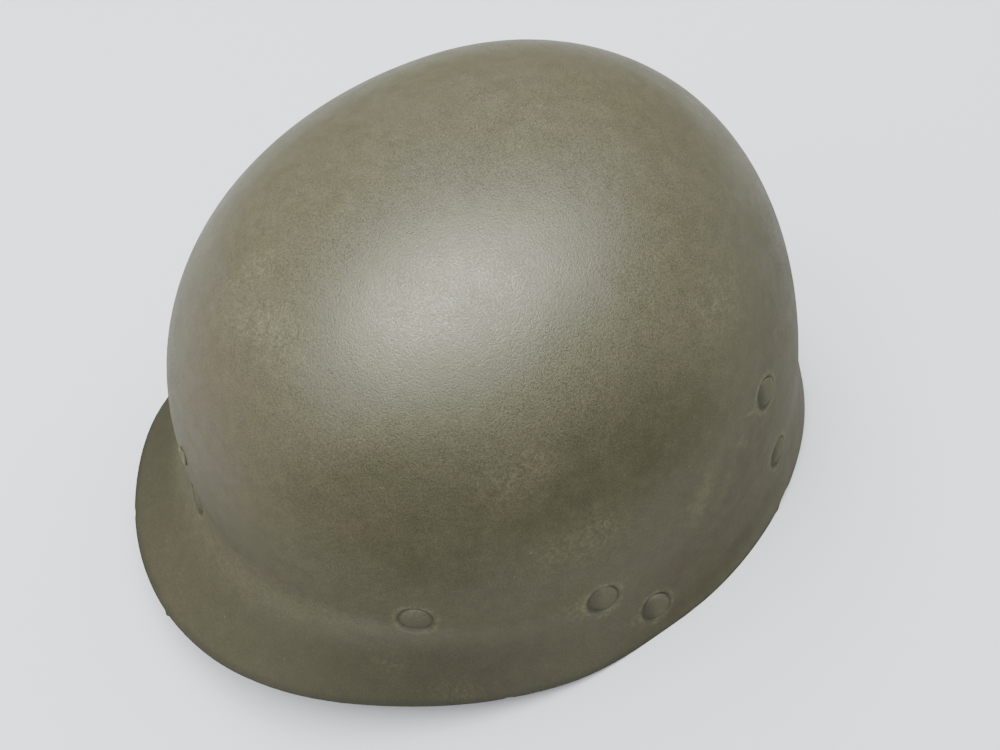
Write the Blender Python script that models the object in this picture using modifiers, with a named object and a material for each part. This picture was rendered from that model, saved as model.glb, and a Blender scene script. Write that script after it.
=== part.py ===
"""Paratrooper helmet: one moulded fibre shell with a short peak, its rivets and a front eyelet.

Metres, +Z up. The helmet rests on the flat stretches of its rim at z = 0, the peak points to -Y
and the wearer's left is +X. The origin lies under the middle of the helmet's length and width.
"""

import math

import bmesh
import bpy
from mathutils import Matrix, Vector

# The shell.
SHELL_HEIGHT = 0.1632       # ground to crown
HALF_WIDTH = 0.1027         # dome's centre line to its side, at the crease
FRONT_LENGTH = 0.1206       # dome's centre to the forehead, at the crease
REAR_LENGTH = 0.1211        # dome's centre to the nape, at the crease
CROWN_SHIFT = 0.0054        # the crown lies this far behind the dome's centre
WALL = 0.002
CREASE_HEIGHT = 0.0481      # ground to the crease over the peak, where the wall turns into the brim
PEAK_REACH = 0.0283         # crease to rim, measured outwards over the peak
RIM_LIFT = 0.0178           # ground to the rim at the peak's corners, its highest stretch

# The dome is rounder than an ellipse in plan and in height: exponents of its curves, 2 being one.
PLAN_FULLNESS_FRONT = 2.10
PLAN_FULLNESS_REAR = 2.00
DOME_FULLNESS = 2.22
# How much of the quarter arc from crown to wall each side uses: less leaves the wall more slanted.
ARC_FRONT_DEG = 89.5
ARC_SIDE_DEG = 81.4
ARC_REAR_DEG = 83.3
# Share of the brim's drop over which the peak still follows the wall before it flares out; where
# the brim reaches out less, it runs straighter. Then how far its curve reaches into the corner
# between the two: 0 is a straight slope, 1 a sharp corner.
BRIM_FOLLOW = 0.44
BRIM_CORNER = 0.80
# Share of the arc above the crease over which the wall's slope is read.
SLOPE_SPAN = 0.065

# The brim round the helmet, a row every ROW_STEP_DEG from the front (0) to the rear, both sides
# alike. Shares: reach of PEAK_REACH, rim of RIM_LIFT, crease of CREASE_HEIGHT. What the rim lacks
# below zero is trimmed flat at the ground.
ROW_STEP_DEG = 15
BRIM_COLUMNS = ("azimuth_deg", "reach", "rim", "crease")
BRIM_ROWS = [
    (0, 1.00, 0.755, 1.00),
    (15, 0.955, 0.83, 0.985),
    (30, 0.855, 1.00, 0.925),
    (45, 0.67, 0.845, 0.815),
    (60, 0.52, 0.495, 0.72),
    (75, 0.40, 0.155, 0.667),
    (90, 0.26, -0.022, 0.637),
    (105, 0.215, -0.045, 0.63),
    (120, 0.18, -0.022, 0.638),
    (135, 0.175, 0.083, 0.647),
    (150, 0.21, 0.212, 0.662),
    (165, 0.247, 0.339, 0.695),
    (180, 0.27, 0.416, 0.715),
]

# Rivets: a low painted head in a shallow pressed recess, a shank through the wall and a plain
# clinched disc inside.
HEAD_RADIUS = 0.0054
HEAD_EDGE = 0.0004          # thickness of the head at its rim
HEAD_RISE = 0.0006          # how far the head's middle stands above its rim
SHANK_RADIUS = 0.0016
CLINCH_RADIUS = 0.0042
CLINCH_THICKNESS = 0.0008
RECESS_MARGIN = 0.0010      # recess radius past the head
RECESS_DEPTH = 0.0006
CLEARANCE = 0.0003          # between a rivet or the eyelet and the shell

# Front eyelet: a tube through the wall with a rolled flange on both ends.
EYELET_RADIUS = 0.0034
EYELET_BORE_RADIUS = 0.0013
EYELET_TUBE_WALL = 0.0003
EYELET_FLANGE = 0.0005

# Places round the helmet: azimuth from the front and height as a share of SHELL_HEIGHT. A pair
# stands on both sides.
RIVET_COLUMNS = ("name", "azimuth_deg", "height")
RIVET_PAIRS = [
    ("rivet_temple", 47.5, 0.242),
    ("rivet_side", 81.0, 0.180),
    ("rivet_strap", 91.5, 0.082),
    ("rivet_rear", 126.6, 0.411),
    ("rivet_nape", 130.0, 0.184),
]
FRONT_RIVET_HEIGHT = 0.268
EYELET_HEIGHT = 0.410

# Mesh fineness.
COLUMN_STEP_DEG = 5
DOME_STEPS = 14
BRIM_STEPS = 7
TURN_STEPS = 16
EYELET_TURN_STEPS = 16
SEAT_SAMPLES = 120
SEAT_PROBE_DEG = 0.5
SEAT_PROBE = 0.0005

OLIVE = (0.137, 0.127, 0.086, 1.0)
OLIVE_WORN = (0.120, 0.112, 0.078, 1.0)


def from_rows(column, azimuth_deg):
    """One column of BRIM_ROWS at any azimuth, on a smooth curve through the rows."""
    index = BRIM_COLUMNS.index(column)
    values = [row[index] for row in BRIM_ROWS]
    last = len(values) - 1

    def at(row):
        row = abs(row)
        return values[2 * last - row] if row > last else values[row]

    place = abs(azimuth_deg) / ROW_STEP_DEG
    row = min(int(place), last - 1)
    t = place - row
    a, b, c, d = at(row - 1), at(row), at(row + 1), at(row + 2)
    return b + t / 2 * (c - a + t * (2 * a - 5 * b + 4 * c - d + t * (3 * (b - c) + d - a)))


def meridian(azimuth_deg, dome_steps, brim_steps):
    """Points of the shell's outer face from the crown down to the rim at one azimuth."""
    angle = math.radians(azimuth_deg)
    ahead, aside = math.cos(angle), math.sin(angle)
    length = FRONT_LENGTH if ahead > 0 else REAR_LENGTH
    fullness = PLAN_FULLNESS_FRONT if ahead > 0 else PLAN_FULLNESS_REAR
    plan = (abs(ahead) / length) ** fullness + (abs(aside) / HALF_WIDTH) ** fullness
    crease_radius = plan ** (-1 / fullness)
    arc_end = ARC_FRONT_DEG if ahead > 0 else ARC_REAR_DEG
    arc = math.radians(ARC_SIDE_DEG + (arc_end - ARC_SIDE_DEG) * ahead ** 2)
    crease = CREASE_HEIGHT * from_rows("crease", azimuth_deg)
    rim = RIM_LIFT * from_rows("rim", azimuth_deg)
    reach_share = from_rows("reach", azimuth_deg)
    reach = PEAK_REACH * reach_share
    power = 2 / DOME_FULLNESS

    def dome(share):
        theta = arc * share
        rise = (math.cos(theta) ** power - math.cos(arc) ** power) / (1 - math.cos(arc) ** power)
        radius = crease_radius * (math.sin(theta) / math.sin(arc)) ** power
        return radius, crease + (SHELL_HEIGHT - crease) * rise, CROWN_SHIFT * rise ** 2

    section = [dome(step / dome_steps) for step in range(dome_steps + 1)]

    # The brim leaves the wall along its slope and flares out to the rim.
    r_before, z_before, _ = dome(1 - SLOPE_SPAN)
    r_start, z_start, _ = section[-1]
    slope = (r_start - r_before) / (z_before - z_start)
    follow = BRIM_FOLLOW * reach_share * (crease - rim)
    start, end = Vector((r_start, z_start)), Vector((crease_radius + reach, rim))
    corner = Vector((r_start + slope * follow, z_start - follow))
    leaving, arriving = start.lerp(corner, BRIM_CORNER), end.lerp(corner, BRIM_CORNER)
    for step in range(1, brim_steps + 1):
        t = step / brim_steps
        point = (
            (1 - t) ** 3 * start + 3 * t * (1 - t) ** 2 * leaving
            + 3 * t ** 2 * (1 - t) * arriving + t ** 3 * end
        )
        section.append((point.x, point.y, 0.0))
    return [Vector((r * aside, shift - r * ahead, z)) for r, z, shift in section]


def outer_points(azimuth_deg, dome_steps=DOME_STEPS, brim_steps=BRIM_STEPS):
    """The meridian moved so that the helmet's length is centred on the origin."""
    front_rim = meridian(0, 1, 1)[-1].y
    rear_rim = meridian(180, 1, 1)[-1].y
    middle = Vector((0, (front_rim + rear_rim) / 2, 0))
    return [point - middle for point in meridian(azimuth_deg, dome_steps, brim_steps)]


def surface_point(azimuth_deg, height):
    """The point of the outer face at an azimuth and a height above the ground."""
    points = outer_points(azimuth_deg, SEAT_SAMPLES, SEAT_SAMPLES)
    for upper, lower in zip(points, points[1:]):
        if lower.z <= height:
            return upper.lerp(lower, (upper.z - height) / (upper.z - lower.z))
    return points[-1]


def seat(azimuth_deg, height):
    """Matrix of a piece that stands on the outer face, its own Z pointing straight out."""
    point = surface_point(azimuth_deg, height)
    across = surface_point(azimuth_deg + SEAT_PROBE_DEG, height)
    across -= surface_point(azimuth_deg - SEAT_PROBE_DEG, height)
    upwards = surface_point(azimuth_deg, height + SEAT_PROBE)
    upwards -= surface_point(azimuth_deg, height - SEAT_PROBE)
    outwards = across.cross(upwards).normalized()
    across.normalize()
    turn = Matrix((across, outwards.cross(across), outwards)).transposed()
    return Matrix.Translation(point) @ turn.to_4x4()


def mirrored(matrix):
    """The same seat on the wearer's right."""
    location, rotation, _ = matrix.decompose()
    x_axis, y_axis, z_axis = (rotation @ Vector(axis) for axis in ((1, 0, 0), (0, 1, 0), (0, 0, 1)))
    flip = Vector((-1, 1, 1))
    columns = (-(x_axis * flip), y_axis * flip, z_axis * flip)
    return Matrix.Translation(location * flip) @ Matrix(columns).transposed().to_4x4()


def clear_scene():
    for existing in list(bpy.data.objects):
        bpy.data.objects.remove(existing, do_unlink=True)
    for existing in list(bpy.data.collections):
        bpy.data.collections.remove(existing)


def new_collection(name):
    collection = bpy.data.collections.new(name)
    bpy.context.scene.collection.children.link(collection)
    return collection


def new_material(name, colour, roughness, metallic=0.0):
    material = bpy.data.materials.new(name)
    material.use_nodes = True
    shader = material.node_tree.nodes["Principled BSDF"]
    shader.inputs["Base Color"].default_value = colour
    shader.inputs["Roughness"].default_value = roughness
    shader.inputs["Metallic"].default_value = metallic
    return material


def new_object(name, mesh, collection, material=None):
    thing = bpy.data.objects.new(name, mesh)
    collection.objects.link(thing)
    if material:
        mesh.materials.append(material)
    return thing


def as_cutter(thing):
    thing.hide_render = True
    thing.display_type = "WIRE"
    return thing


def turned(name, profile, collection, material=None, closed=False, steps=TURN_STEPS):
    """A turned piece from its half profile of (radius, height) points, top to bottom."""
    mesh = bpy.data.meshes.new(name)
    edges = [(i, i + 1) for i in range(len(profile) - 1)]
    if closed:
        edges.append((len(profile) - 1, 0))
    mesh.from_pydata([(radius, 0, height) for radius, height in profile], edges, [])
    thing = new_object(name, mesh, collection, material)
    screw = thing.modifiers.new("turn", "SCREW")
    screw.axis = "Z"
    screw.angle = math.tau
    screw.steps = steps
    screw.render_steps = steps
    screw.use_merge_vertices = True
    screw.merge_threshold = 0.00001
    screw.use_smooth_shade = True
    return thing


def make_shell(collection, material):
    """The moulded shell: half its outer face lofted crown to rim, mirrored and given its wall."""
    azimuths = range(0, 180 + COLUMN_STEP_DEG, COLUMN_STEP_DEG)
    columns = [outer_points(azimuth) for azimuth in azimuths]
    half = bmesh.new()
    crown = half.verts.new(columns[0][0])
    row = [half.verts.new(points[1]) for points in columns]
    for left, right in zip(row, row[1:]):
        half.faces.new((crown, left, right))
    for level in range(2, len(columns[0])):
        lower = [half.verts.new(points[level]) for points in columns]
        for i in range(len(row) - 1):
            half.faces.new((row[i], lower[i], lower[i + 1], row[i + 1]))
        row = lower
    for vertex in half.verts:
        if abs(vertex.co.x) < CLEARANCE / 10:
            vertex.co.x = 0
    bmesh.ops.recalc_face_normals(half, faces=half.faces)
    if crown.link_faces[0].normal.z < 0:
        bmesh.ops.reverse_faces(half, faces=half.faces)
    mesh = bpy.data.meshes.new("shell")
    half.to_mesh(mesh)
    half.free()
    mesh.shade_smooth()
    shell = new_object("shell", mesh, collection, material)

    mirror = shell.modifiers.new("both sides", "MIRROR")
    mirror.use_axis = (True, False, False)
    mirror.use_mirror_merge = True
    mirror.merge_threshold = 0.00001
    wall = shell.modifiers.new("wall", "SOLIDIFY")
    wall.thickness = WALL
    wall.offset = -1
    wall.use_even_offset = True
    shell.modifiers.new("flat faces", "TRIANGULATE")
    return shell


def cut(shell, cutter):
    trim = shell.modifiers.new(cutter.name, "BOOLEAN")
    trim.operation = "DIFFERENCE"
    trim.object = cutter
    trim.solver = "EXACT"


def make_ground_cutter(collection):
    """A block under the ground: it trims the rim's lowest stretches flat, so the helmet rests."""
    box = bmesh.new()
    bmesh.ops.create_cube(box, size=1)
    width = 2 * (HALF_WIDTH + PEAK_REACH + RIM_LIFT)
    length = 2 * (FRONT_LENGTH + REAR_LENGTH)
    bmesh.ops.scale(box, vec=(width, length, RIM_LIFT), verts=box.verts)
    bmesh.ops.translate(box, vec=(0, 0, -RIM_LIFT / 2), verts=box.verts)
    mesh = bpy.data.meshes.new("cut_ground")
    box.to_mesh(mesh)
    box.free()
    return as_cutter(new_object("cut_ground", mesh, collection))


def rivet_profile():
    """Head, shank and clinched disc. Height 0 is the shell's outer face."""
    underside = CLEARANCE - RECESS_DEPTH
    edge = underside + HEAD_EDGE
    inside = -WALL - CLEARANCE
    head = []
    for share in (0, 0.5, 0.85, 1):
        head.append((HEAD_RADIUS * share, edge + HEAD_RISE * (1 - share ** 2)))
    return head + [
        (HEAD_RADIUS, underside),
        (SHANK_RADIUS, underside),
        (SHANK_RADIUS, inside),
        (CLINCH_RADIUS, inside),
        (CLINCH_RADIUS, inside - CLINCH_THICKNESS),
        (0, inside - CLINCH_THICKNESS),
    ]


def rivet_cut_profile():
    """Recess, hole and inner seat of a rivet."""
    top = HEAD_EDGE + HEAD_RISE + WALL
    hole = SHANK_RADIUS + CLEARANCE
    seat_radius = CLINCH_RADIUS + CLEARANCE
    bottom = -WALL - CLINCH_THICKNESS - WALL
    return [
        (0, top),
        (HEAD_RADIUS + RECESS_MARGIN, top),
        (HEAD_RADIUS + RECESS_MARGIN, -RECESS_DEPTH),
        (hole, -RECESS_DEPTH),
        (hole, -WALL),
        (seat_radius, -WALL),
        (seat_radius, bottom),
        (0, bottom),
    ]


def eyelet_profile():
    """Closed profile of the eyelet: outer flange, tube, inner flange and the bore back up."""
    tube = EYELET_BORE_RADIUS + EYELET_TUBE_WALL
    outside = CLEARANCE
    inside = -WALL - CLEARANCE
    return [
        (EYELET_BORE_RADIUS + EYELET_FLANGE / 2, outside + EYELET_FLANGE),
        (EYELET_RADIUS - EYELET_FLANGE / 2, outside + EYELET_FLANGE),
        (EYELET_RADIUS, outside + EYELET_FLANGE / 2),
        (EYELET_RADIUS, outside),
        (tube, outside),
        (tube, inside),
        (EYELET_RADIUS, inside),
        (EYELET_RADIUS, inside - EYELET_FLANGE),
        (EYELET_BORE_RADIUS, inside - EYELET_FLANGE),
        (EYELET_BORE_RADIUS, outside + EYELET_FLANGE / 2),
    ]


def eyelet_cut_profile():
    """Spot face, hole and inner seat of the eyelet."""
    hole = EYELET_BORE_RADIUS + EYELET_TUBE_WALL + CLEARANCE
    face = EYELET_RADIUS + CLEARANCE
    return [
        (0, WALL),
        (face, WALL),
        (face, 0),
        (hole, 0),
        (hole, -WALL),
        (face, -WALL),
        (face, -WALL * 2),
        (0, -WALL * 2),
    ]


def fasten(name, matrix, profiles, shell, parts, cutters, material, **options):
    """A turned piece on its seat and the cut that it sits in."""
    piece_profile, cut_profile = profiles
    piece = turned(name, piece_profile, parts, material, **options)
    piece.matrix_world = matrix
    cutter = as_cutter(turned("cut_" + name, cut_profile, cutters, steps=TURN_STEPS))
    cutter.matrix_world = matrix
    cut(shell, cutter)


def main():
    clear_scene()
    parts = new_collection("paratrooper_helmet")
    cutters = new_collection("cutters")
    shell_paint = new_material("olive paint on fibre", OLIVE, 0.48)
    rivet_paint = new_material("olive paint on steel", OLIVE_WORN, 0.45)

    shell = make_shell(parts, shell_paint)
    cut(shell, make_ground_cutter(cutters))
    rivet = (rivet_profile(), rivet_cut_profile())
    front = seat(0, FRONT_RIVET_HEIGHT * SHELL_HEIGHT)
    fasten("rivet_front", front, rivet, shell, parts, cutters, rivet_paint)
    for name, azimuth_deg, height in RIVET_PAIRS:
        left = seat(azimuth_deg, height * SHELL_HEIGHT)
        fasten(name + "_left", left, rivet, shell, parts, cutters, rivet_paint)
        fasten(name + "_right", mirrored(left), rivet, shell, parts, cutters, rivet_paint)
    eyelet = (eyelet_profile(), eyelet_cut_profile())
    top = seat(0, EYELET_HEIGHT * SHELL_HEIGHT)
    fasten("front_eyelet", top, eyelet, shell, parts, cutters, rivet_paint, closed=True,
           steps=EYELET_TURN_STEPS)


main()
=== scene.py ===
# %% [markdown]
# # A worn paratrooper helmet
# The object is a helmet shell of the light inner type: cotton fibre soaked in resin, pressed in a
# mould, sprayed olive and worn for years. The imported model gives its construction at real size.
# This script dresses it: a finer shell, pressed rivet seats, a chipped rim, and a paint that has
# the grain, haze and scuffs of the real one.

# %% Load the frame
import math

import bmesh
import bpy
import numpy as np
from mathutils import Matrix, Vector


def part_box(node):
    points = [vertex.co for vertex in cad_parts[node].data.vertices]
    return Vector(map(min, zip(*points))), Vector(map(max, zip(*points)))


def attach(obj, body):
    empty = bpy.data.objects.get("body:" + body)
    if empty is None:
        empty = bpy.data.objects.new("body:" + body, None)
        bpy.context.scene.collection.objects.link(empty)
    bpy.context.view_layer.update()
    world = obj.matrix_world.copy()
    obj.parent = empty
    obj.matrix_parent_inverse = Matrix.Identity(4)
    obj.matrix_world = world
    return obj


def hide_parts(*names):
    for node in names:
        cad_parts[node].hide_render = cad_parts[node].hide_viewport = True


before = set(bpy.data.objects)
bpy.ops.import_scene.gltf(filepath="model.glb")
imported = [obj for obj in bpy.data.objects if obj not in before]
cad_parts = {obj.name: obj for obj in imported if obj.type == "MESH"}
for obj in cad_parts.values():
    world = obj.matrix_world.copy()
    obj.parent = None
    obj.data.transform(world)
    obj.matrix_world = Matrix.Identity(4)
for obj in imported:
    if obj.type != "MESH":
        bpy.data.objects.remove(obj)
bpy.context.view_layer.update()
MM = 0.001

# %% [markdown]
# ## The view
# The photograph looks down on the wearer's left side from under half a metre, the peak pointing
# to the lower left. The camera's place was found by fitting the shell's outline, its front centre
# line and the ellipses of the rivet heads. A camera close to its subject shows strong perspective,
# so its distance matters as much as its direction.

# %% Camera
VIEW_AZIMUTH_DEG = 65.9     # round the helmet from its front, towards the wearer's left
VIEW_ELEVATION_DEG = 48.38
VIEW_ROLL_DEG = -6.43
VIEW_DISTANCE = 423.1 * MM
VIEW_TARGET = Vector((15.0, 4.5, 52.95)) * MM
SENSOR_WIDTH_MM = 36
LENS_MM = 41.4


def view_axes(azimuth_deg, elevation_deg, roll_deg):
    """The camera's own X, Y and Z axes, Z pointing back from the subject."""
    azimuth, elevation, roll = (math.radians(a) for a in (azimuth_deg, elevation_deg, roll_deg))
    level = math.cos(elevation)
    back = Vector((math.sin(azimuth) * level, -math.cos(azimuth) * level, math.sin(elevation)))
    right = Vector((math.cos(azimuth), math.sin(azimuth), 0))
    up = back.cross(right)
    return (
        math.cos(roll) * right + math.sin(roll) * up,
        math.cos(roll) * up - math.sin(roll) * right,
        back,
    )


def make_camera():
    """Places the photograph's camera."""
    data = bpy.data.cameras.new("photo camera")
    data.sensor_width = SENSOR_WIDTH_MM
    data.lens = LENS_MM
    data.clip_start = 10 * MM
    camera = bpy.data.objects.new("photo camera", data)
    axes = view_axes(VIEW_AZIMUTH_DEG, VIEW_ELEVATION_DEG, VIEW_ROLL_DEG)
    turn = Matrix(axes).transposed().to_4x4()
    camera.matrix_world = Matrix.Translation(VIEW_TARGET + axes[2] * VIEW_DISTANCE) @ turn
    bpy.context.scene.collection.objects.link(camera)
    bpy.context.scene.camera = camera
    return camera


camera = make_camera()
print("camera at, mm:", [round(value / MM) for value in camera.matrix_world.translation])

# %% [markdown]
# ## The shell's form
# The dome is a superellipse in plan, swept from the crown down a superelliptic arc, so it is
# fuller than a ball. Below the crease the wall turns into a flared brim, widest over the face,
# where it makes the peak. The same few sizes shape the solid model, so both meet everywhere.
# The brim changes round the helmet, and a short table holds its reach and heights.

# %% Sizes of the shell
SHELL_HEIGHT = 163.2 * MM
HALF_WIDTH = 102.7 * MM
FRONT_LENGTH = 120.6 * MM
REAR_LENGTH = 121.1 * MM
CROWN_SHIFT = 5.4 * MM      # how far the crown lies behind the middle
WALL = 2 * MM
CREASE_HEIGHT = 48.1 * MM
PEAK_REACH = 28.3 * MM
RIM_LIFT = 17.8 * MM
PLAN_FULLNESS_FRONT = 2.10  # 2 gives an ellipse, more is squarer
PLAN_FULLNESS_REAR = 2.00
DOME_FULLNESS = 2.22
ARC_FRONT_DEG = 89.5        # how far round its arc the dome runs; at 90 the wall ends upright
ARC_SIDE_DEG = 81.4
ARC_REAR_DEG = 83.3
BRIM_FOLLOW = 0.44          # how far the wall's slope runs on into the brim
BRIM_CORNER = 0.80          # how sharply the brim turns there
SLOPE_SPAN = 0.065          # the last share of the dome, from which that slope is taken

ROW_STEP_DEG = 15
BRIM_ROWS = {
    # azimuth: reach of PEAK_REACH, rim of RIM_LIFT, crease of CREASE_HEIGHT
    0: (1.00, 0.755, 1.00),
    15: (0.955, 0.83, 0.985),
    30: (0.855, 1.00, 0.925),
    45: (0.67, 0.845, 0.815),
    60: (0.52, 0.495, 0.72),
    75: (0.40, 0.155, 0.667),
    90: (0.26, -0.022, 0.637),
    105: (0.215, -0.045, 0.63),
    120: (0.18, -0.022, 0.638),
    135: (0.175, 0.083, 0.647),
    150: (0.21, 0.212, 0.662),
    165: (0.247, 0.339, 0.695),
    180: (0.27, 0.416, 0.715),
}
REACH, RIM, CREASE = range(3)


def from_rows(column, azimuth_deg):
    """One column of the table at many azimuths, on a smooth curve through its rows."""
    rows = np.array([values[column] for values in BRIM_ROWS.values()])
    last = len(rows) - 1
    place = np.abs(azimuth_deg) / ROW_STEP_DEG
    row = np.minimum(place.astype(int), last - 1)
    t = place - row
    around = np.concatenate([rows[1:2], rows, rows[-2:-1]])
    a, b, c, d = (around[row + k] for k in range(4))
    return b + t / 2 * (c - a + t * (2 * a - 5 * b + 4 * c - d + t * (3 * (b - c) + d - a)))


# %% [markdown]
# A point of the outer face has two coordinates: its azimuth round the helmet, and its level, which
# runs from 0 at the crown to 1 at the crease and 2 at the rim. One function turns many such pairs
# into places at once. Another finds the direction straight out of the face by taking a small step
# along each coordinate, and that tells which way a rivet stands.

# %% Surface functions
PROBE_DEG = 0.05
PROBE_LEVEL = 0.0005
CROWN_LEVEL = 0.02          # nearer the crown a step along the azimuth is too short to use


def dome_profile(level, azimuth_deg):
    """Radius and height shares on the dome at levels 0 to 1: what the crease radius is times."""
    forward = np.cos(np.radians(azimuth_deg))
    arc_end = np.where(forward > 0, ARC_FRONT_DEG, ARC_REAR_DEG)
    arc = np.radians(ARC_SIDE_DEG + (arc_end - ARC_SIDE_DEG) * forward ** 2)
    theta = arc * level
    power = 2 / DOME_FULLNESS
    foot = np.cos(arc) ** power
    height = (np.cos(theta) ** power - foot) / (1 - foot)
    return (np.sin(theta) / np.sin(arc)) ** power, height


def raw_point(azimuth_deg, level):
    """Places on the outer face, before the length is centred on the origin."""
    angle = np.radians(azimuth_deg)
    forward, aside = np.cos(angle), np.sin(angle)
    length = np.where(forward > 0, FRONT_LENGTH, REAR_LENGTH)
    fullness = np.where(forward > 0, PLAN_FULLNESS_FRONT, PLAN_FULLNESS_REAR)
    plan = (np.abs(forward) / length) ** fullness + (np.abs(aside) / HALF_WIDTH) ** fullness
    crease_radius = plan ** (-1 / fullness)
    crease = CREASE_HEIGHT * from_rows(CREASE, azimuth_deg)
    rim = RIM_LIFT * from_rows(RIM, azimuth_deg)
    reach_share = from_rows(REACH, azimuth_deg)
    reach = PEAK_REACH * reach_share

    wide, high = dome_profile(np.clip(level, 0, 1), azimuth_deg)
    wide_above, high_above = dome_profile(1 - SLOPE_SPAN + 0 * level, azimuth_deg)
    slope = crease_radius * (1 - wide_above) / ((SHELL_HEIGHT - crease) * high_above)
    follow = BRIM_FOLLOW * reach_share * (crease - rim)
    t = np.maximum(level - 1, 0)
    start, end = np.stack([crease_radius, crease]), np.stack([crease_radius + reach, rim])
    corner = start + np.stack([slope, -1 + 0 * slope]) * follow
    leaving, arriving = (point + BRIM_CORNER * (corner - point) for point in (start, end))
    brim_radius, brim_height = (
        (1 - t) ** 3 * start + 3 * t * (1 - t) ** 2 * leaving
        + 3 * t ** 2 * (1 - t) * arriving + t ** 3 * end
    )
    on_dome = level < 1
    radius = np.where(on_dome, crease_radius * wide, brim_radius)
    height = np.where(on_dome, crease + (SHELL_HEIGHT - crease) * high, brim_height)
    shift = np.where(on_dome, CROWN_SHIFT * high ** 2, 0)
    return np.stack([radius * aside, shift - radius * forward, height], -1)


def outer_point(azimuth_deg, level):
    """Places on the outer face in the model's own frame."""
    azimuth_deg, level = np.broadcast_arrays(np.asarray(azimuth_deg, float), level)
    ends = raw_point(np.array([0.0, 180.0]), np.array([2.0, 2.0]))
    return raw_point(azimuth_deg, level) - np.array([0, ends[:, 1].mean(), 0])


def step_round(azimuth_deg, level):
    """Small steps along the azimuth, as vectors."""
    after = outer_point(azimuth_deg + PROBE_DEG, level)
    return after - outer_point(azimuth_deg - PROBE_DEG, level)


def step_down(azimuth_deg, level):
    """Small steps along the level, as vectors."""
    after = outer_point(azimuth_deg, level + PROBE_LEVEL)
    return after - outer_point(azimuth_deg, level - PROBE_LEVEL)


def outward(azimuth_deg, level):
    """Unit vectors straight out of the outer face."""
    level = np.clip(level, CROWN_LEVEL, 2 - PROBE_LEVEL)
    normal = np.cross(step_down(azimuth_deg, level), step_round(azimuth_deg, level))
    return normal / np.linalg.norm(normal, axis=-1, keepdims=True)


lowest = outer_point(np.arange(0, 181.0), 2.0)
print("rim heights at 0, 30 .. 180 deg, mm:", (lowest[::30, 2] / MM).round(1))

# %% [markdown]
# ## Where the rivets sit
# Ten rivets in mirrored pairs and one in front once held a web harness inside. A seat is found
# from an azimuth and a height, so a rivet always stands square on the face that carries it. Its
# matrix has its own Z pointing straight out, which lets one turned profile serve every seat.

# %% Seats
PAIR_ROWS = {
    # name: azimuth, height as a share of SHELL_HEIGHT
    "rivet_temple": (47.5, 0.242),
    "rivet_side": (81.0, 0.180),
    "rivet_strap": (91.5, 0.082),
    "rivet_rear": (126.6, 0.411),
    "rivet_nape": (130.0, 0.184),
}
FRONT_RIVET_HEIGHT = 0.268
EYELET_HEIGHT = 0.410
MERIDIAN_STEPS = 4000


def level_at(azimuth_deg, height):
    """The level at which a meridian is at a height above the ground."""
    levels = np.linspace(0, 2, MERIDIAN_STEPS + 1)
    heights = outer_point(azimuth_deg, levels)[:, 2]
    return float(np.interp(height, heights[::-1], levels[::-1]))


def seat(azimuth_deg, share):
    """Matrix of a piece that stands on the outer face."""
    level = level_at(azimuth_deg, share * SHELL_HEIGHT)
    place = Vector(outer_point(azimuth_deg, level))
    out = Vector(outward(azimuth_deg, level))
    ahead = Vector(step_round(azimuth_deg, level))
    across = (ahead - ahead.dot(out) * out).normalized()
    turn = Matrix((across, out.cross(across), out)).transposed()
    return Matrix.Translation(place) @ turn.to_4x4()


def seen_from(matrix, points):
    """Points in a seat's own axes: X round the helmet, Z straight out of it."""
    return (points - np.array(matrix.translation)) @ np.array(matrix.to_3x3())


seats = {"rivet_front": seat(0.0, FRONT_RIVET_HEIGHT)}
for pair_name, (pair_azimuth, pair_height) in PAIR_ROWS.items():
    seats[pair_name + "_left"] = seat(pair_azimuth, pair_height)
    seats[pair_name + "_right"] = seat(-pair_azimuth, pair_height)
eyelet_seat = seat(0.0, EYELET_HEIGHT)
for seat_name, matrix in seats.items():
    low, high = (Vector(corner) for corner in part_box(seat_name))
    apart = (low + high) / 2 - matrix.translation
    print(seat_name, "is off its solid's middle by, mm:", round(apart.length / MM, 2))

# %% [markdown]
# ## Pressed seats and a chipped rim
# Where a rivet was clinched, the fibre was squeezed flat into a shallow round dish with a soft
# lip. A bump map would lose that at the outline and in close light, so the dish is real geometry:
# the faces near each rivet are split finely, and their points are pushed down to the dish's floor.
# The rim has small chips, made the same way by pulling its edge back along the face.

# %% Sizes of the dishes and chips
HEAD_RADIUS = 5.4 * MM
DISH_DEPTH = 0.6 * MM
DISH_FLOOR = 5.6 * MM       # radius of the flat floor
DISH_LIP = 6.3 * MM         # radius at which the face is whole again
LIP_RISE = 0.06 * MM        # how far the lip stands above the face
LIP_WIDTH = 0.8 * MM
EAR_RISE = 0.15 * MM        # where the press pushed fibre up, on either side of a dish
EAR_RADIUS = 1.3 * MM
CLEARANCE = 0.3 * MM

CHIP_ROWS = [
    # azimuth, width and depth in mm; a negative depth is a nib that stands out
    (131.2, 8.6, 1.00),
    (128.0, 2.4, -0.95),
    (7.1, 1.6, -0.45),
    (97.2, 2.6, -0.30),
    (62.0, 2.6, 0.30),
    (-58.0, 4.0, 0.50),
    (171.0, 3.5, 0.45),
    (-12.0, 2.4, 0.25),
]
CHIP_SHARPNESS = 4          # a chip has a flat middle and steep ends
CHIP_START = 1.88           # the level from which the edge is pulled
BRIM_LENGTH = 60 * MM       # how fast the face runs near its rim, for turning mm to levels
RIM_RADIUS = HALF_WIDTH + 8 * MM


def smooth(share):
    """A soft step: 0 below 0, 1 above 1, level at both ends."""
    share = np.clip(share, 0, 1)
    return share * share * (3 - 2 * share)


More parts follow.
